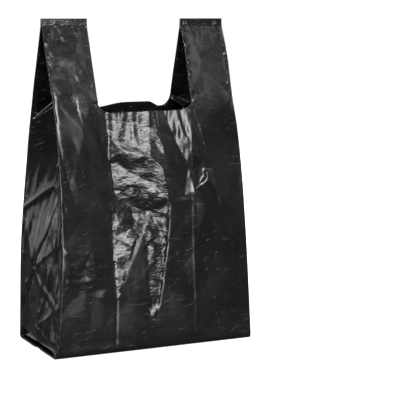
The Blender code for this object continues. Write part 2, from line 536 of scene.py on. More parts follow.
@dataclass(frozen=True)
class Window:
    """A stretch of a panel: its limits across and in height, each with how softly it ends, in millimetres.

    across_lean slants its sides with the height, and height_lean its top and foot with the place across.
    """

    across: tuple[float, float, float]
    height: tuple[float, float, float]
    across_lean: float = 0.0
    height_lean: float = 0.0

    def share(self, across: np.ndarray, height: np.ndarray) -> np.ndarray:
        """1 inside the window, fading to 0 outside it."""
        sideways = between(across + self.across_lean * height, *self.across)
        return sideways * between(height + self.height_lean * across, *self.height)


@dataclass(frozen=True)
class Crumples:
    """Facets that show only inside some windows."""

    facets: Facets
    windows: tuple[Window, ...]

    def relief(self, across: np.ndarray, height: np.ndarray) -> np.ndarray:
        """The facets' height at each point, in millimetres."""
        shown = sum(window.share(across, height) for window in self.windows)
        return self.facets.relief(across, height) * shown


FRONT_FOLDS = FoldMap(
    points={
        "top_a": (-160, 470, 0), "top_b": (-60, 470, 0), "top_c": (60, 470, 0), "top_d": (160, 470, 0),
        "strap_a": (-118, 352, 0.2), "strap_b": (-132, 372, 0.0), "strap_c": (-98, 366, -1.0),
        "strap_d": (-122, 398, 0.5), "strap_e": (-72, 352, -1.4), "strap_f": (-92, 402, 0.7),
        "strap_g": (-72, 396, -0.5), "strap_h": (-112, 428, -0.4), "strap_i": (-84, 434, 0.4),
        "strap_k": (92, 346, 0.8), "strap_l": (134, 342, 0.1), "strap_m": (74, 352, 0.2),
        "strap_n": (96, 384, -0.6), "strap_o": (126, 388, 0.5), "strap_p": (84, 420, 0.4),
        "strap_q": (118, 424, -0.3),
        "fold_a": (-132, 340, 0), "fold_b": (-130, 240, 0), "fold_c": (-131, 150, 0),
        "fold_d": (-138, 60, 0),
        "fold_e": (-148, -12, 0), "fold_f": (148, -12, 0), "fold_g": (146, 60, 0), "fold_h": (145, 150, 0),
        "fold_i": (143, 236, 0), "fold_j": (137, 340, 0),
        "left_a": (-57, 340, -4.5), "left_b": (-55, 262, -5.5), "left_c": (-55, 205, -5.5),
        "left_d": (-55, 153, -4.5), "left_e": (-55, 110, -2.9), "left_f": (-54, 71, -1.2),
        "left_g": (-58, 30, -0.5), "left_h": (-61, -12, -0.3),
        "band_a": (13, 340, 1.8), "band_b": (16, 292, 1.6), "band_c": (27, 257, 2.3),
        "band_d": (28, 202, 2.3),
        "band_e": (22, 142, 0.7), "band_f": (13, 92, 0.4), "band_g": (6, 60, 0.1), "band_h": (-6, 38, 0.0),
        "wedge_a": (-9, 158, -1.6), "wedge_b": (-33, 112, -1.9), "wedge_c": (-8, 94, -1.6),
        "wedge_d": (-6, 61, -1.0),
        "gather_a": (-54, 292, -5.0), "gather_b": (-20, 288, -2.2), "gather_c": (6, 286, 0.6),
        "shade_a": (-34, 272, -0.9), "shade_b": (2, 262, 3.2), "shade_c": (20, 246, 4.2),
        "flat_a": (-52, 258, -7.4), "flat_b": (-45, 257, -6.4), "flat_c": (-21, 240, -3.0),
        "flat_d": (-6, 233, -1.1), "flat_e": (12, 218, 1.3), "flat_f": (-37, 240, -5.0),
        "flat_g": (-24, 228, -3.2), "flat_h": (-6, 218, -0.6), "flat_i": (8, 211, 1.4),
        "dark_a": (-48, 214, -7.2), "dark_b": (-25, 196, -6.2), "dark_c": (2, 188, -3.0),
        "lit_a": (-50, 190, -5.4), "lit_b": (-46, 177, -4.2), "lit_c": (-24, 170, -4.0),
        "streak_a": (22, 340, -1.2), "streak_b": (41, 285, -0.6), "streak_c": (57, 252, 0.2),
        "streak_d": (44, 340, 1.0), "streak_e": (50, 300, 0.7), "streak_f": (48, 340, 0.3),
        "streak_g": (54, 302, 0.3),
        "right_a": (66, 340, 2.4), "right_b": (66, 276, 2.2), "right_c": (66, 200, 0.9),
        "right_d": (63, 131, 0.7),
        "right_e": (63, 63, 0.6), "right_f": (60, -12, 0.3),
        "pocket_a": (60, 247, 0.2), "pocket_b": (85, 236, 2.7), "pocket_c": (66, 213, 1.5),
        "pocket_d": (51, 207, 0.1),
        "strip_a": (70, 284, 1.7), "strip_b": (98, 242, 0.3), "strip_c": (128, 212, -0.4),
        "strip_d": (141, 200, 0.0),
        "strip_e": (86, 228, 2.5), "strip_f": (112, 199, 1.9), "strip_g": (84, 192, 1.7),
        "low_a": (40, 60, 0.9), "low_b": (11, 52, 0.1), "low_c": (102, 86, 0.9), "low_d": (132, 105, 0.1),
        "low_e": (92, 34, -0.5), "low_f": (44, 108, -0.2), "low_g": (96, 150, -0.4),
        "side_a": (-92, 300, -1.6), "side_b": (-76, 262, -3.4), "side_c": (-108, 236, -0.9),
        "side_d": (-84, 196, -2.8),
        "side_e": (-88, 142, -1.5), "side_f": (-120, 114, 0.0), "side_g": (-100, 118, -1.5),
        "side_h": (-126, 97, 0.0),
        "side_i": (-82, 103, -0.8), "side_j": (-102, 90, -0.9), "side_k": (-96, 50, -0.3),
    },
    folds=(
        "left_a gather_a left_b left_c left_d left_e left_f left_g left_h",
        "band_a band_b band_c band_d band_e band_f band_g band_h",
        "wedge_a wedge_b left_f", "wedge_a wedge_c wedge_d band_h", "wedge_a band_e",
        "gather_a gather_b gather_c band_b", "gather_a shade_a shade_b shade_c band_c",
        "left_b flat_a flat_b flat_c flat_d flat_e band_d", "flat_a flat_f flat_g flat_h flat_i band_d",
        "flat_f dark_a dark_b dark_c band_d", "dark_a lit_a lit_b lit_c wedge_a", "left_d lit_b",
        "streak_a streak_b streak_c pocket_a pocket_d", "streak_d streak_e streak_g", "streak_f streak_g",
        "right_a right_b right_c right_d right_e right_f",
        "pocket_a pocket_b pocket_c pocket_d", "right_b pocket_b",
        "strip_a strip_b strip_c strip_d", "strip_a strip_e strip_f strip_d", "pocket_c strip_g strip_f",
        "pocket_c strip_f", "right_e low_a low_b", "right_e low_c low_d", "right_e low_e", "right_d low_g",
        "side_a side_b left_c", "side_c side_d", "side_e side_f side_g side_e",
        "side_h side_i side_j side_h",
        "fold_a strap_a strap_c strap_e", "strap_b strap_a", "strap_d strap_c strap_f", "strap_f strap_e",
        "right_a strap_k strap_l", "strap_k strap_m", "strap_n strap_l strap_o",
    ),
    depth=1.45,
)


@dataclass(frozen=True)
class FrontRelief:
    """The front panel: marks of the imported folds, a crumpled glossy band, and a few stray folds."""

    band_left: tuple[tuple[float, float], ...] = (
        (38, -6), (62, -7), (95, -8), (150, -9), (168, -56), (326, -57),
    )
    band_right: tuple[tuple[float, float], ...] = (
        (38, -5), (60, 6), (92, 13), (142, 22), (170, 26), (202, 28), (257, 27), (284, 17), (326, 12),
    )
    band_edge: float = 5.0
    band_foot: tuple[float, float] = (34, 10)
    wedge: tuple[tuple[float, float], ...] = ((71, -54), (168, -16))
    wedge_left: float = -56.0
    wedge_edge: float = 4.0
    wedge_height: tuple[float, float, float] = (75, 170, 5)
    plain: tuple[Facets, ...] = (Facets(11, (38, 50), 0.45), Facets(12, (13, 17), 0.2))
    coarse: Facets = Facets(13, (17, 10), 0.42)
    fine: Facets = Facets(14, (8, 5), 0.2)
    smooth: Window = Window((-50, 6, 4), (217, 225, 3), height_lean=0.66)
    smoothed: float = 0.85
    tilt: float = 0.04
    tilt_start: float = -30.0
    tilt_reach: float = 45.0
    tilt_height: tuple[float, float, float] = (60, 192, 10)
    column: Crumples = Crumples(Facets(15, (6, 5), 0.4), (Window((-26, 20, 6), (45, 205, 12), -0.1),))
    gathers: Crumples = Crumples(Facets(16, (6, 45), 0.9), (Window((-60, 62, 8), (296, 330, 22)),))
    streak: Crumples = Crumples(Facets(17, (7, 14), 0.3), (Window((106.5, 144.5, 4), (215, 330, 12), 0.25),))
    creased: Crumples = Crumples(
        Facets(25, (15, 6), 0.6, lean=1.0), (Window((88, 138, 6), (262, 300, 10), height_lean=0.62),)
    )
    torn: Crumples = Crumples(
        Facets(23, (12, 7), 0.62, lean=0.8), (Window((-122, -76, 8), (38, 92, 8), height_lean=0.5),)
    )
    loose: Crumples = Crumples(
        Facets(24, (13, 26), 0.75, lean=0.3),
        (Window((66, 138, 8), (205, 335, 20)), Window((-128, -62, 8), (205, 335, 20))),
    )
    marks: tuple[Crease, ...] = (
        Crease(((-57, 330), (-55, 254), (-55, 153), (-55, 72), (-61, 0)), -0.45, 3, 3, False),
        Crease(((66, 330), (66, 210), (63, 131), (63, 62), (60, 0)), 0.4, 3, 3, False),
    )
    strap_pucker: Facets = Facets(18, (6, 18), 0.8, Field.STRAP)
    strap_pucker_start: tuple[float, float] = (412, 20)
    strap_crumple: Facets = Facets(22, (14, 10), 0.3, Field.STRAP)
    strap_crumple_start: tuple[float, float] = (330, 12)
    strap_notch: Facets = Facets(19, (5, 5), 1.4, Field.STRAP)
    strap_notch_start: tuple[float, float] = (322, 8)
    strap_notch_reach: float = 6.0
    strap_edges: tuple[float, float] = (71, 134)
    top_end: tuple[float, float] = (449, 20)

    def band(self, across: np.ndarray, height: np.ndarray) -> np.ndarray:
        """1 inside the crumpled band, fading to 0 outside it."""
        left = np.interp(height, *zip(*self.band_left))
        right = np.interp(height, *zip(*self.band_right))
        inside = fade((across - left) / self.band_edge + 0.5) * fade((right - across) / self.band_edge + 0.5)
        wedge = np.interp(height, *zip(*self.wedge))
        second = fade((across - self.wedge_left) / self.wedge_edge + 0.5)
        second = second * fade((wedge - across) / self.wedge_edge + 0.5) * between(height, *self.wedge_height)
        return np.maximum(inside * above(height, *self.band_foot), second)

    def relief(self, across: np.ndarray, height: np.ndarray) -> np.ndarray:
        """How far the film stands out of the flat panel at each point, in millimetres."""
        lift = FRONT_FOLDS.relief(across, height)
        for facets in self.plain:
            lift += facets.relief(across, height)
        lift += self.band_relief(across, height) * self.band(across, height)
        lift += self.gathers.relief(across, height)
        lift += self.strap_relief(across, height)
        for stray in (self.streak, self.creased, self.torn, self.loose, *self.marks):
            lift += stray.relief(across, height)
        return lift * below(height, *self.top_end)

    def band_relief(self, across: np.ndarray, height: np.ndarray) -> np.ndarray:
        """The crumples and the tilt of the glossy band, in millimetres."""
        lift = self.coarse.relief(across, height) + self.fine.relief(across, height)
        lift *= 1 - self.smoothed * self.smooth.share(across, height)
        tilt = self.tilt * np.clip(across - self.tilt_start, 0, self.tilt_reach)
        lift -= tilt * between(height, *self.tilt_height)
        return lift + self.column.relief(across, height)

    def strap_relief(self, across: np.ndarray, height: np.ndarray) -> np.ndarray:
        """Puckers along the edges of the straps and under their welds, in millimetres."""
        lift = self.strap_pucker.relief(across, height) * above(height, *self.strap_pucker_start)
        lift += self.strap_crumple.relief(across, height) * above(height, *self.strap_crumple_start)
        inner, outer = (np.abs(np.abs(across) - edge) for edge in self.strap_edges)
        close = fade(1 - np.minimum(inner, outer) / self.strap_notch_reach)
        return lift + self.strap_notch.relief(across, height) * close * above(height, *self.strap_notch_start)


@dataclass(frozen=True)
class StrapRelief:
    """The rear straps: long facets from the mouth up, and puckers under the top weld."""

    facets: Facets = Facets(51, (21, 28), 0.75, Field.STRAP)
    fine: Facets = Facets(52, (8, 10), 0.24, Field.STRAP)
    pucker: Facets = Facets(53, (4.5, 20), 0.4, Field.STRAP)
    pucker_start: tuple[float, float] = (412, 20)
    foot: tuple[float, float] = (318, 24)
    top: tuple[float, float] = (446, 22)

    def relief(self, across: np.ndarray, height: np.ndarray) -> np.ndarray:
        """How far the film stands out of the flat strap at each point, in millimetres."""
        lift = self.facets.relief(across, height) + self.fine.relief(across, height)
        lift += self.pucker.relief(across, height) * above(height, *self.pucker_start)
        return lift * below(height, *self.top) * above(height, *self.foot)


@dataclass(frozen=True)
class SlackRelief:
    """Slack film in long diamond folds, deepest towards the base: a gusset, or the plain rear panel.

    folds and creases are those that are placed one by one. Where there are folds, the random facets are
    fainter by faint.
    """

    seed: int
    folds: FoldMap | None = None
    creases: tuple[Crease, ...] = ()
    faint: float = 0.35
    diamond: tuple[float, float, float] = (24, 44, 2.4)
    pleat: tuple[float, float, float] = (11, 36, 1.0)
    pleat_lean: float = 0.12
    fine: tuple[float, float, float] = (6, 16, 0.4)
    slack_end: tuple[float, float] = (300, 90)
    full_slack_end: tuple[float, float] = (210, 60)
    least_slack: float = 0.55
    lower_end: tuple[float, float] = (190, 50)
    lower_gain: float = 0.8
    ledge: tuple[float, float, float] = (6, 4, 1.3)
    ledge_height: float = 315.0
    ledge_climb: tuple[float, float] = (0.3, 0.58)
    ledge_from: float = 82.5
    ledge_reach: float = 9.0

    def facets(self, offset: int, look: tuple[float, float, float], lean: float = 0.0) -> Facets:
        """A field of facets with the given width, height and relief; offset sets its random seed."""
        return Facets(self.seed + offset, look[:2], look[2], Field.GUSSET, lean)

    def relief(self, across: np.ndarray, height: np.ndarray) -> np.ndarray:
        """How far the film stands out of the folded form at each point, in millimetres."""
        slack = self.least_slack + (1 - self.least_slack) * below(height, *self.full_slack_end)
        slack = slack * below(height, *self.slack_end)
        lower = slack * (1 + self.lower_gain * below(height, *self.lower_end))
        share = self.faint if self.folds else 1.0
        lift = self.facets(0, self.diamond).relief(across, height) * share * slack
        lift += self.facets(1, self.pleat, self.pleat_lean).relief(across, height) * lower
        lift += self.facets(2, self.fine).relief(across, height) * lower
        front, rear = self.ledge_climb
        ledge = np.where(across > 0, rear, front) * (self.ledge_from - np.abs(across)) + self.ledge_height
        near = fade(1 - np.abs(height - ledge) / self.ledge_reach)
        lift += self.facets(3, self.ledge).relief(across, height) * near
        if self.folds:
            lift += self.folds.relief(across, height)
        for crease in self.creases:
            lift += crease.relief(across, height)
        return lift


LEFT_GUSSET_FOLDS = FoldMap(
    points={
        "top_a": (-90, 470, 0), "top_b": (90, 470, 0), "end_a": (-90, -12, 0), "end_b": (90, -12, 0),
        "dark_a": (-90, 302, 0), "dark_b": (-2, 242, 0.2), "dark_c": (50, 206, 0.2), "dark_d": (90, 186, 0),
        "ridge_a": (-90, 264, 2.6), "ridge_b": (-20, 230, 3.4), "ridge_c": (30, 208, 2.8),
        "ridge_d": (80, 184, 0.8),
        "under_a": (-90, 254, -0.6), "under_b": (-20, 219, -0.4), "under_c": (30, 198, -0.4),
        "under_d": (84, 176, 0),
        "mid_a": (-3, 195, -2.0), "mid_b": (-2, 155, -2.6), "mid_c": (6, 108, -3.4),
        "mid_d": (14, 63, -3.0),
        "mid_e": (-8, 33, 1.2), "mid_f": (10, 12, -1.4),
        "front_a": (-80, 157, 1.4), "front_b": (-44, 186, 2.2), "front_c": (-40, 130, 2.6),
        "front_d": (-80, 70, 1.2),
        "front_e": (-38, 84, -1.6), "front_f": (-52, 44, 2.4), "front_g": (-44, 222, -1.4),
        "front_h": (-60, 14, -1.0),
        "rear_a": (44, 152, 2.8), "rear_b": (80, 150, 0.6), "rear_c": (52, 104, -1.2),
        "rear_d": (44, 62, 2.6),
        "rear_e": (82, 60, 0.4), "rear_f": (50, 24, -0.8), "rear_g": (30, 176, -0.8),
        "rear_h": (66, 128, 1.8),
    },
    folds=(
        "dark_a dark_b dark_c dark_d", "ridge_a ridge_b ridge_c ridge_d", "under_a under_b under_c under_d",
        "mid_a mid_b mid_c mid_d mid_f", "mid_c front_c front_a", "mid_c front_e front_d", "mid_c rear_c",
        "mid_e front_f front_d", "mid_e front_h", "mid_e rear_d rear_e", "mid_b rear_a rear_b",
        "mid_a front_b front_a",
        "under_b mid_a rear_g under_c", "front_g under_b", "front_g front_b", "rear_g rear_a rear_h rear_c",
    ),
    depth=0.6,
)


LEFT_GUSSET_CREASES = (
    Crease(((-82, 257), (0, 223), (82, 187)), 2.2, 6, 4, False),
    Crease(((-80, 236), (-50, 195), (-12, 155), (18, 108), (40, 63), (44, 12)), -1.8, 5, 7, False),
    Crease(((18, 108), (-30, 132), (-80, 152)), 1.5, 5, 12, False),
    Crease(((18, 108), (-30, 84), (-80, 64)), 1.4, 10, 4, False),
    Crease(((-4, 33), (-40, 20), (-80, 4)), 1.2, 8, 4, False),
    Crease(((-4, 33), (-30, 74), (-52, 124)), 1.0, 4, 9),
    Crease(((-4, 33), (-50, 52), (-80, 90)), 1.0, 6, 5),
    Crease(((18, 108), (48, 150), (60, 186)), 1.2, 8, 4),
    Crease(((18, 108), (54, 80), (80, 40)), 1.2, 4, 9),
    Crease(((60, 186), (66, 110), (62, 30)), 1.1, 5, 5),
    Crease(((-40, 170), (-34, 120), (-44, 60)), 0.9, 4, 8),
)


@dataclass(frozen=True)
class Calm:
    """Where the film keeps its smooth form, and how finely crinkled each part is.

    Distances along the film are in metres, and those in from a fold in millimetres.
    """

    over_corner: float = 0.012
    under_top: float = 0.01
    under_strap: float = 0.004
    gusset_fold: float = 7.0
    gusset_top: float = 0.02
    gusset_top_fullness: float = 0.4
    strap_fold: float = 2.5
    panel_fold: float = 6.0
    rear_spread: float = 0.5
    plain_crinkle: float = 0.05
    band_crinkle: float = 0.85
    side_crinkle: float = 0.3


@dataclass(frozen=True)
class DrawnFold:
    """A stretch of the front's left fold that is drawn in, so that its edge turns to the side."""

    stretch: tuple[float, float, float]
    depth: float
    reach: float


class BagFilm:
    """The whole film as one mesh: laid out in patches, folded, and given its relief and thickness."""

    drawn_folds = (DrawnFold((20, 258, 6), 0.5, 2.0), DrawnFold((266, 345, 8), 1.1, 7.0))
    drawn_crumple = Facets(81, (40, 9), 0.2)
    fold_margin = 0.05

    def __init__(self, film: Film, mesh: Mesh, calm: Calm, thickness: float = 0.00018) -> None:
        """Starts an empty film.

        Args:
            film: the form.
            mesh: how finely it is divided.
            calm: where it stays smooth.
            thickness: the film's own.
        """
        self.film = film
        self.mesh = mesh
        self.calm = calm
        self.thickness = thickness
        self.bm = bmesh.new()
        self.panel = self.bm.verts.layers.int.new("panel")
        self.across = self.bm.verts.layers.float.new("across")
        self.along = self.bm.verts.layers.float.new("along")
        self.crinkled = self.bm.verts.layers.float.new("crinkled")
        self.in_panel = self.bm.faces.layers.int.new("in_panel")

    def body_rows(self) -> list[float]:
        """Distances from the base weld of the rows below the mouth."""
        film, mesh = self.film, self.mesh
        before, after = film.half_depth - film.corner_radius, film.half_depth + film.corner_radius
        rows = steps(0.0, before, mesh.base_rows)
        rows += steps(before, film.half_depth, mesh.corner_rows)[1:]
        rows += steps(film.half_depth, after, mesh.corner_rows)[1:]
        return rows + steps(after, film.mouth_at, mesh.wall_rows)[1:]

    def handle_rows(self) -> list[float]:
        """Distances from the base weld of the rows of the straps, following the round of the cut."""
        film = self.film
        turn = steps(0, math.pi / 2, self.mesh.cut_rows)
        curve = [film.cut_top_at - film.cut_radius * math.cos(a) for a in turn]
        curve = [v for v in curve if v > film.gusset_cut_at + self.mesh.row_gap]
        curve = [film.mouth_at, film.gusset_cut_at] + curve
        return curve + steps(film.cut_top_at, film.top_at, self.mesh.handle_rows)[1:]

    def patch(
        self, panel: Panel, columns: list[float], rows: list[float], narrow: bool, origin: float, way: int
    ) -> None:
        """Adds a grid of film.

        Args:
            panel: the panel it belongs to.
            columns: distances in from the outer fold, or shares of the strap where narrow is set.
            rows: distances from the base weld.
            narrow: True on a strap, whose width follows the cut.
            origin: where the outer fold lies across the panel.
            way: 1 or -1, the direction from the fold inwards.
        """
        right, up = len(columns) - 1, len(rows) - 1
        grid = bmesh.ops.create_grid(self.bm, x_segments=right, y_segments=up, size=0.5)
        for vertex in grid["verts"]:
            i = round((vertex.co.x + 0.5) * right)
            j = round((vertex.co.y + 0.5) * up)
            reach = self.film.cut_edge(rows[j])
            if panel in (Panel.LEFT, Panel.RIGHT):
                reach = min(reach, self.film.gusset_depth)
            inward = columns[i] * reach if narrow else columns[i]
            across = origin + way * inward
            vertex[self.panel] = panel.value
            vertex[self.across] = across
            vertex[self.along] = rows[j]
            vertex.co = self.place(panel, across, rows[j], way)
            for face in vertex.link_faces:
                face[self.in_panel] = panel.value

    def place(self, panel: Panel, across: float, along: float, way: int) -> Vector:
        """Where a point of the film lies. way tells the two halves of a gusset apart at its crease."""
        if panel is Panel.FRONT:
            return self.film.panel_point(-1, across, along)
        if panel is Panel.REAR:
            return self.film.panel_point(1, across, along)
        side = -1 if panel is Panel.LEFT else 1
        return self.film.gusset_point(side, across if across else -way * 1e-9, along)

    def lay_out(self) -> None:
        """Adds every patch of the tube and joins them."""
        film, mesh = self.film, self.mesh
        body, handle = self.body_rows(), self.handle_rows()
        reach = film.handle_width + film.cut_radius
        for panel, outer, inner in (
            (Panel.FRONT, mesh.under_handle, mesh.under_mouth),
            (Panel.REAR, mesh.rear_under_handle, mesh.rear_under_mouth),
        ):
            shares = steps(0.0, 1.0, outer)
            edge = [share * reach for share in shares]
            middle = steps(reach, 2 * film.half_width - reach, inner)[1:-1]
            far = [2 * film.half_width - x for x in reversed(edge)]
            self.patch(panel, edge + middle + far, body, False, -film.half_width, 1)
            self.patch(panel, shares, handle, True, -film.half_width, 1)
            self.patch(panel, shares, handle, True, film.half_width, -1)
        for panel, count in ((Panel.LEFT, mesh.left_gusset), (Panel.RIGHT, mesh.right_gusset)):
            halves = steps(0.0, 1.0, count // 2)
            for way in (1, -1):
                columns = [share * film.gusset_depth for share in halves]
                self.patch(panel, columns, body, False, -way * film.gusset_depth, way)
                self.patch(panel, halves, handle, True, -way * film.gusset_depth, way)
        bmesh.ops.remove_doubles(self.bm, verts=self.bm.verts, dist=MERGE)
        bmesh.ops.recalc_face_normals(self.bm, faces=self.bm.faces)
        front = max(self.bm.faces, key=lambda face: -face.calc_center_median().y)
        if front.normal.y > 0:
            bmesh.ops.reverse_faces(self.bm, faces=self.bm.faces)
        self.bm.normal_update()

    def crumple(self) -> None:
        """Moves each point out of the smooth folded form by the relief of its panel."""
        verts = list(self.bm.verts)
        place = np.array([v.co for v in verts])
        normal = np.array([v.normal for v in verts])
        panel = np.array([v[self.panel] for v in verts])
        across = np.array([v[self.across] for v in verts]) / MM
        along = np.array([v[self.along] for v in verts])
        height = place[:, 2] / MM
        lift = np.zeros(len(verts))
        film, calm = self.film, self.calm
        corner = film.half_depth + film.corner_radius
        shown = above(along, corner, calm.over_corner) * below(along, film.top_at, calm.under_top)
        strap = along > film.mouth_at - calm.under_strap
        flat = place[:, 0] / MM
        front_relief = FrontRelief()
        reliefs = (
            (Panel.FRONT, False, front_relief, flat),
            (Panel.FRONT, True, front_relief, flat),
            (Panel.REAR, False, SlackRelief(41), flat * calm.rear_spread),
            (Panel.REAR, True, StrapRelief(), flat),
            (Panel.LEFT, False, SlackRelief(61, LEFT_GUSSET_FOLDS, LEFT_GUSSET_CREASES), across),
            (Panel.RIGHT, False, SlackRelief(71), across),
        )
        for which, on_strap, relief, coordinate in reliefs:
            chosen = (panel == which.value) & (strap == on_strap)
            lift[chosen] = relief.relief(coordinate[chosen], height[chosen])
        gusset = np.isin(panel, (Panel.LEFT.value, Panel.RIGHT.value))
        at_fold = below(np.abs(across), film.gusset_depth / MM, calm.gusset_fold)
        at_top = along > film.mouth_at - calm.gusset_top
        at_fold = np.where(at_top, at_fold**calm.gusset_top_fullness, at_fold)
        soft = np.where(strap, calm.strap_fold, calm.panel_fold)
        at_edge = below(np.abs(across), film.half_width / MM, soft)
        lift *= np.where(gusset, at_fold, at_edge)
        lift -= self.front_fold(panel, across, height)
        rough = np.full(len(verts), calm.plain_crinkle)
        front = panel == Panel.FRONT.value
        rough[front] += calm.band_crinkle * front_relief.band(flat[front], height[front])
        rough[strap | gusset] = calm.side_crinkle
        for vertex, offset, amount in zip(verts, normal * (lift * shown * MM)[:, None], rough):
            vertex.co += Vector(offset)
            vertex[self.crinkled] = amount

    def front_fold(self, panel: np.ndarray, across: np.ndarray, height: np.ndarray) -> np.ndarray:
        """How far the front's left fold is drawn in at each point, in millimetres."""
        on_gusset = (panel == Panel.LEFT.value) & (across < self.fold_margin - self.film.gusset_depth / MM)
        away = np.where(on_gusset, 0.0, np.inf)
        away = np.where(panel == Panel.FRONT.value, across + self.film.half_width / MM, away)
        torn = self.drawn_crumple.relief(np.zeros(height.shape), height)
        return sum(
            between(height, *fold.stretch) * (fold.depth + torn) * np.clip(1 - away / fold.reach, 0, 1)
            for fold in self.drawn_folds
        )

    def piece(self, name: str, panels: tuple[Panel, ...], material: bpy.types.Material) -> bpy.types.Object:
        """Makes an object of some of the panels, with its thickness, its map and its material.

        Args:
            name: what to call it.
            panels: the panels it holds.
            material: the finish of the film.

        Returns:
            The piece.
        """
        bm = self.bm.copy()
        wanted = [panel.value for panel in panels]
        in_panel = bm.faces.layers.int["in_panel"]
        others = [face for face in bm.faces if face[in_panel] not in wanted]
        bmesh.ops.delete(bm, geom=others, context="FACES")
        across, along = bm.verts.layers.float["across"], bm.verts.layers.float["along"]
        uv = bm.loops.layers.uv.new("film")
        for face in bm.faces:
            face.smooth = True
            for loop in face.loops:
                loop[uv].uv = (loop.vert[across] + face[in_panel], loop.vert[along])
        data = bpy.data.meshes.new(name)
        bm.to_mesh(data)
        bm.free()
        data.materials.append(material)
        film = bpy.data.objects.new(name, data)
        bpy.context.scene.collection.objects.link(film)
        wall = film.modifiers.new("film_thickness", "SOLIDIFY")
        wall.thickness = self.thickness
        wall.offset = 0.0
        return film

    def build(self, material: bpy.types.Material) -> tuple[bpy.types.Object, ...]:
        """Makes the film.

        Args:
            material: the finish of the film.

        Returns:
            The front with its straps, and the rest of the tube.
        """
        self.lay_out()
        self.crumple()
        front = self.piece("front_film", (Panel.FRONT,), material)
        rest = self.piece("side_and_rear_film", (Panel.RIGHT, Panel.REAR, Panel.LEFT), material)
        self.bm.free()
        return front, rest


@dataclass(frozen=True)
class HandleWeld:
    """The ribbed weld across a handle's top: one solid round the ends of its layers."""

    name: str
    fold: float
    inner: float
    top: float
    pins: tuple[float, ...]
    height: float = 0.0105
    thickness: float = 0.0015
    top_share: float = 0.75
    cuts_across: int = 119
    cuts_up: int = 11
    tears: int = 24
    tear: float = 0.0012
    rib_pitch: float = 0.0024
    rib: float = 0.00002
    rib_start: float = 5.0
    seal: float = 0.0005
    seal_at: float = 0.12
    seal_width: float = 0.07
    pin_down: float = 0.62
    pin_rim: float = 0.0009
    pin_radius: float = 0.0018
    pin_width: float = 0.0007
    crinkle: float = 0.3

    def build(self, material: bpy.types.Material) -> bpy.types.Object:
        """Makes the weld.

        Args:
            material: the finish of the film.

        Returns:
            The finished piece.
        """
        bm = bmesh.new()
        bmesh.ops.create_cube(bm, size=1.0)
        level = [edge for edge in bm.edges if abs(edge.verts[0].co.x - edge.verts[1].co.x) > 0.5]
        bmesh.ops.subdivide_edges(bm, edges=level, cuts=self.cuts_across, use_grid_fill=True)
        upright = [edge for edge in bm.edges if abs(edge.verts[0].co.z - edge.verts[1].co.z) > 0.5]
        bmesh.ops.subdivide_edges(bm, edges=upright, cuts=self.cuts_up, use_grid_fill=True)
        rng = random.Random(self.name)
        ragged = [rng.uniform(-self.tear, self.tear) for _ in range(self.tears)]
        for vertex in bm.verts:
            vertex.co = self.place(vertex.co, ragged)
        bmesh.ops.recalc_face_normals(bm, faces=bm.faces)
        data = bpy.data.meshes.new(self.name)
        bm.to_mesh(data)
        bm.free()
        data.shade_smooth()
        data.materials.append(material)
        crinkled = data.attributes.new("crinkled", "FLOAT", "POINT")
        crinkled.data.foreach_set("value", [self.crinkle] * len(data.vertices))
        weld = bpy.data.objects.new(self.name, data)
        bpy.context.scene.collection.objects.link(weld)
        return weld

    def place(self, spot: Vector, ragged: list[float]) -> Vector:
        """Where a point of the plain block ends up: ribbed, thin at its edges, and torn along its foot."""
        share, climb = spot.x + 0.5, spot.z + 0.5
        place = share * (len(ragged) - 1)
        i = min(int(place), len(ragged) - 2)
        foot = mix(ragged[i], ragged[i + 1], place - i) * (1 - climb) ** 2
        x = mix(self.fold, self.inner, share)
        z = self.top - self.height * (1 - climb) + foot
        rib = self.rib * math.sin(2 * math.pi * x / self.rib_pitch) * ease(climb * self.rib_start)
        line = self.seal * math.exp(-(((climb - self.seal_at) / self.seal_width) ** 2))
        dimple = 0.0
        for pin in self.pins:
            down = z - self.top + self.height * self.pin_down
            away = math.hypot(x - mix(self.fold, self.inner, pin), down)
            dimple += self.pin_rim * math.exp(-(((away - self.pin_radius) / self.pin_width) ** 2))
        half = self.thickness / 2 * mix(1.0, self.top_share, climb) + rib + line + dimple
        return Vector((x, math.copysign(half, spot.y), z))


@dataclass(frozen=True)
class Nodes:
    """The nodes of a material or a surround, and a short way to add to them."""

    tree: bpy.types.NodeTree

    def add(self, kind: str, inputs: dict[str | int, object], **settings: str) -> bpy.types.Node:
        """Adds a node.

        Args:
            kind: its type, without the ShaderNode that each type starts with.
            inputs: what feeds each input: a socket, or a plain value.
            settings: its other settings.

        Returns:
            The node.
        """
        node = self.tree.nodes.new("ShaderNode" + kind)
        for name, value in settings.items():
            setattr(node, name, value)
        self.feed(node, inputs)
        return node

    def feed(self, node: bpy.types.Node, inputs: dict[str | int, object]) -> None:
        """Links or sets some of a node's inputs."""
        for name, value in inputs.items():
            if isinstance(value, bpy.types.NodeSocket):
                self.tree.links.new(value, node.inputs[name])
            else:
                node.inputs[name].default_value = value


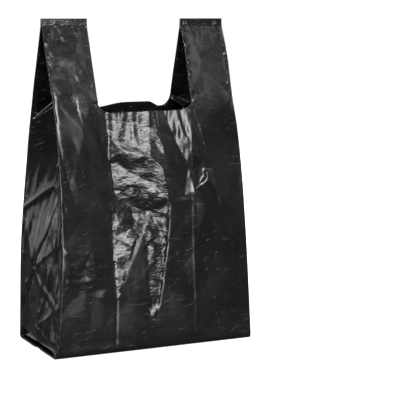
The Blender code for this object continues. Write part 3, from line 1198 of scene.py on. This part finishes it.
@dataclass(frozen=True)
class BlackFilm:
    """The finish of the film: near-black and glossy in patches, finely crinkled where it was crumpled."""

    name: str = "black_film"
    colour: tuple[float, float, float] = (0.006, 0.006, 0.0065)
    ior: float = 1.53
    gloss: float = 0.17
    dull: float = 0.28
    patches_per_metre: float = 18.0
    patch_detail: float = 6.0
    patch_range: tuple[float, float] = (0.35, 0.68)
    facets_per_metre: tuple[float, float, float] = (70.0, 70.0, 130.0)
    facet_slope: float = 0.10
    ripples_per_metre: tuple[float, float, float] = (110.0, 110.0, 300.0)
    ripple_depth: float = 0.0006
    ripple_detail: float = 2.0
    ripple_distortion: float = 0.8

    def build(self) -> bpy.types.Material:
        """Makes the material."""
        material = bpy.data.materials.new(self.name)
        material.use_nodes = True
        nodes = Nodes(material.node_tree)
        where = nodes.add("TexCoord", {}).outputs["Object"]
        patches = nodes.add(
            "TexNoise", {"Vector": where, "Scale": self.patches_per_metre, "Detail": self.patch_detail}
        )
        low, high = self.patch_range
        levels = {"From Min": low, "From Max": high, "To Min": self.gloss, "To Max": self.dull}
        rough = nodes.add("MapRange", {"Value": patches.outputs["Fac"], **levels})
        both = nodes.add("Math", {0: self.facets(nodes, where), 1: self.ripples(nodes, where)})
        amount = nodes.add("Attribute", {}, attribute_name="crinkled")
        height = nodes.add(
            "Math", {0: both.outputs["Value"], 1: amount.outputs["Fac"]}, operation="MULTIPLY"
        )
        bump = nodes.add("Bump", {"Height": height.outputs["Value"], "Distance": 1.0, "Strength": 1.0})
        shader = material.node_tree.nodes["Principled BSDF"]
        nodes.feed(shader, {"Base Color": (*self.colour, 1.0), "IOR": self.ior})
        nodes.feed(shader, {"Roughness": rough.outputs["Result"], "Normal": bump.outputs["Normal"]})
        return material

    def ripples(self, nodes: Nodes, where: bpy.types.NodeSocket) -> bpy.types.NodeSocket:
        """Adds long low ripples that lie level across the film.

        Args:
            nodes: the material's nodes.
            where: the place on the film.

        Returns:
            The socket with their height in metres.
        """
        size = nodes.add("Mapping", {"Vector": where, "Scale": self.ripples_per_metre})
        look = {"Scale": 1.0, "Detail": self.ripple_detail, "Distortion": self.ripple_distortion}
        waves = nodes.add("TexNoise", {"Vector": size.outputs["Vector"], **look})
        height = nodes.add("Math", {0: waves.outputs["Fac"], 1: self.ripple_depth}, operation="MULTIPLY")
        return height.outputs["Value"]

    def facets(self, nodes: Nodes, where: bpy.types.NodeSocket) -> bpy.types.NodeSocket:
        """Adds small flat facets, each tilted its own way.

        Args:
            nodes: the material's nodes.
            where: the place on the film.

        Returns:
            The socket with their height in metres.
        """
        size = nodes.add("Mapping", {"Vector": where, "Scale": self.facets_per_metre}).outputs["Vector"]
        cells = nodes.add("TexVoronoi", {"Vector": size, "Scale": 1.0})
        offset = nodes.add("VectorMath", {0: size, 1: cells.outputs["Position"]}, operation="SUBTRACT")
        tilt = nodes.add("VectorMath", {0: cells.outputs["Color"], 1: (0.5, 0.5, 0.5)}, operation="SUBTRACT")
        rise = nodes.add(
            "VectorMath", {0: offset.outputs["Vector"], 1: tilt.outputs["Vector"]}, operation="DOT_PRODUCT"
        )
        slope = 2 * self.facet_slope / self.facets_per_metre[2]
        height = nodes.add("Math", {0: rise.outputs["Value"], 1: slope}, operation="MULTIPLY")
        return height.outputs["Value"]


@dataclass(frozen=True)
class Softbox:
    """A rectangular light, placed by its bearing and height angle as seen from the bag."""

    name: str
    bearing: float
    rise: float
    distance: float
    width: float
    length: float
    watts: float

    def build(self, aim: Vector) -> bpy.types.Object:
        """Makes the light, turned towards the bag.

        Args:
            aim: the point it faces.

        Returns:
            The light.
        """
        a, e = math.radians(self.bearing), math.radians(self.rise)
        back = Vector((math.sin(a) * math.cos(e), -math.cos(a) * math.cos(e), math.sin(e)))
        data = bpy.data.lights.new(self.name, "AREA")
        data.shape = "RECTANGLE"
        data.size = self.width
        data.size_y = self.length
        data.energy = self.watts
        light = bpy.data.objects.new(self.name, data)
        light.location = aim + back * self.distance
        light.rotation_mode = "QUATERNION"
        light.rotation_quaternion = (-back).to_track_quat("-Z", "Y")
        bpy.context.scene.collection.objects.link(light)
        return light


@dataclass(frozen=True)
class Studio:
    """A white studio: pale floor, white surround, and softboxes whose reflections draw the film."""

    aim: Vector
    surround: float = 0.045
    patch: float = 0.7
    patch_scale: float = 3.2
    patch_range: tuple[float, float] = (0.5, 0.7)
    dark_way: tuple[float, float, float] = (0.405, -0.91, 0.087)
    dark_range: tuple[float, float] = (0.12, 0.4)
    floor_size: float = 30.0
    floor_drop: float = 0.0004
    floor_colour: float = 0.9
    mirrored_floor: float = 0.06
    # The floor's glow near the bag is lower than far away: painted shade round the bag.
    near_floor_glow_painted_shade: float = 0.8
    floor_glow_far: float = 1.02
    painted_shade_range: tuple[float, float] = (0.25, 0.9)
    softboxes: tuple[Softbox, ...] = (
        Softbox("front_box", 1.5, 17.0, 2.2, 0.70, 1.30, 40.0),
        Softbox("top_box", -82.0, 50.0, 1.8, 1.0, 0.9, 26.0),
        Softbox("left_box", -135.0, 10.0, 2.2, 2.4, 2.2, 17.0),
        Softbox("right_strip", 46.0, 31.0, 2.4, 0.7, 0.9, 3.2),
        Softbox("right_box", 84.0, 16.0, 2.4, 0.9, 1.6, 10.0),
        Softbox("rear_box", 146.0, 20.0, 2.4, 2.0, 1.8, 34.0),
    )

    def build(self) -> None:
        """Makes the surround, the floor and the lights."""
        self.build_world()
        self.build_floor()
        for box in self.softboxes:
            box.build(self.aim)
        bpy.context.scene.view_settings.view_transform = "Standard"

    def build_world(self) -> None:
        """A surround that is white to look at, and dimmer and patchy where it lights the bag."""
        world = bpy.data.worlds.new("surround")
        world.use_nodes = True
        bpy.context.scene.world = world
        nodes = Nodes(world.node_tree)
        way = nodes.add("TexCoord", {}).outputs["Generated"]
        patches = nodes.add("TexNoise", {"Vector": way, "Scale": self.patch_scale})
        low, high = self.patch_range
        bright = nodes.add(
            "MapRange",
            {"Value": patches.outputs["Fac"], "From Min": low, "From Max": high, "To Max": self.patch},
        )
        ahead = nodes.add("VectorMath", {0: way, 1: self.dark_way}, operation="DISTANCE")
        low, high = self.dark_range
        clear = nodes.add("MapRange", {"Value": ahead.outputs["Value"], "From Min": low, "From Max": high})
        shade = nodes.add(
            "Math",
            {0: bright.outputs["Result"], 1: clear.outputs["Result"], 2: self.surround},
            operation="MULTIPLY_ADD",
        )
        seen = nodes.add("LightPath", {}).outputs["Is Camera Ray"]
        level = nodes.add("MapRange", {"Value": seen, "To Min": shade.outputs["Value"], "To Max": 1.0})
        light = world.node_tree.nodes["Background"]
        nodes.feed(light, {"Color": (1.0, 1.0, 1.0, 1.0), "Strength": level.outputs["Result"]})

    def build_floor(self) -> None:
        """A wide pale floor that glows a little, less near the bag as painted shade round it, and is dark
        where the glossy film mirrors it.
        """
        bpy.ops.mesh.primitive_plane_add(size=self.floor_size)
        floor = bpy.context.object
        floor.name = "studio_floor"
        floor.location.z = -self.floor_drop
        material = bpy.data.materials.new("pale_floor")
        material.use_nodes = True
        nodes = Nodes(material.node_tree)
        seen = nodes.add("LightPath", {}).outputs
        grey = {"A": (*[self.floor_colour] * 3, 1.0), "B": (*[self.mirrored_floor] * 3, 1.0)}
        colour = nodes.add("Mix", {"Factor": seen["Is Glossy Ray"], **grey}, data_type="RGBA")
        where = nodes.add("TexCoord", {}).outputs["Object"]
        away = nodes.add("VectorMath", {0: where}, operation="LENGTH")
        # The glow rises with the distance from the bag: painted shade near the bag, evenly bright far off.
        low, high = self.painted_shade_range
        glow = {"From Min": low, "From Max": high, "To Min": self.near_floor_glow_painted_shade, "To Max": self.floor_glow_far}
        level = nodes.add("MapRange", {"Value": away.outputs["Value"], **glow})
        shown = nodes.add(
            "Math", {0: seen["Is Camera Ray"], 1: level.outputs["Result"]}, operation="MULTIPLY"
        )
        shader = material.node_tree.nodes["Principled BSDF"]
        nodes.feed(shader, {"Base Color": colour.outputs["Result"], "Roughness": 0.9})
        nodes.feed(shader, {"Specular IOR Level": 0.0, "Emission Color": (1.0, 1.0, 1.0, 1.0)})
        nodes.feed(shader, {"Emission Strength": shown.outputs["Value"]})
        floor.data.materials.append(material)


@dataclass(frozen=True)
class Camera:
    """The camera: where it stands, and how it is turned."""

    location: tuple[float, float, float] = (-0.7326, -1.7258, 0.456)
    turned_right: float = 25.794
    tilted_down: float = 7.864
    lens: float = 121.18

    def build(self) -> bpy.types.Object:
        """Makes the camera and gives it to the scene."""
        data = bpy.data.cameras.new("camera")
        data.lens = self.lens
        data.sensor_width = 36.0
        camera = bpy.data.objects.new("camera", data)
        camera.location = self.location
        camera.rotation_euler = (math.radians(90 - self.tilted_down), 0.0, -math.radians(self.turned_right))
        bpy.context.scene.collection.objects.link(camera)
        bpy.context.scene.camera = camera
        return camera


def film_of(low: Vector, high: Vector) -> Film:
    """The standing film that fills the frame's box."""
    return Film(
        half_width=(high.x - low.x) / 2 - OUTER_WALL,
        half_depth=round((high.y - low.y) / 2, 3),
        height=high.z,
    )


def report(piece: bpy.types.Object) -> None:
    """Logs a piece's name and how finely it is made."""
    graph = bpy.context.evaluated_depsgraph_get()
    data = piece.evaluated_get(graph).to_mesh()
    data.calc_loop_triangles()
    LOG.info("%s: %d triangles", piece.name, len(data.loop_triangles))


def main() -> None:
    """Builds the bag, then the studio round it."""
    logging.basicConfig(level=logging.INFO, format="%(message)s")
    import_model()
    Camera().build()
    film = film_of(*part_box(NODE))
    finish = BlackFilm().build()
    films = BagFilm(film, Mesh(), Calm()).build(finish)
    left, right = film.fold_x(-1, -1, film.height), film.fold_x(-1, 1, film.height)
    strap = film.handle_width * (right - left) / (2 * film.half_width)
    past = WELD_OVERLAP
    welds = (
        HandleWeld("left_handle_weld", left - past, left + strap + past, film.height, (0.33, 0.61)),
        HandleWeld("right_handle_weld", right + past, right - strap - past, film.height, (0.17, 0.88)),
    )
    for piece in (*films, *(weld.build(finish) for weld in welds)):
        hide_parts(NODE)
        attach(piece, "root")
        report(piece)
    Studio(aim=Vector((0.0, 0.0, 0.22))).build()


if __name__ == "__main__":
    main()
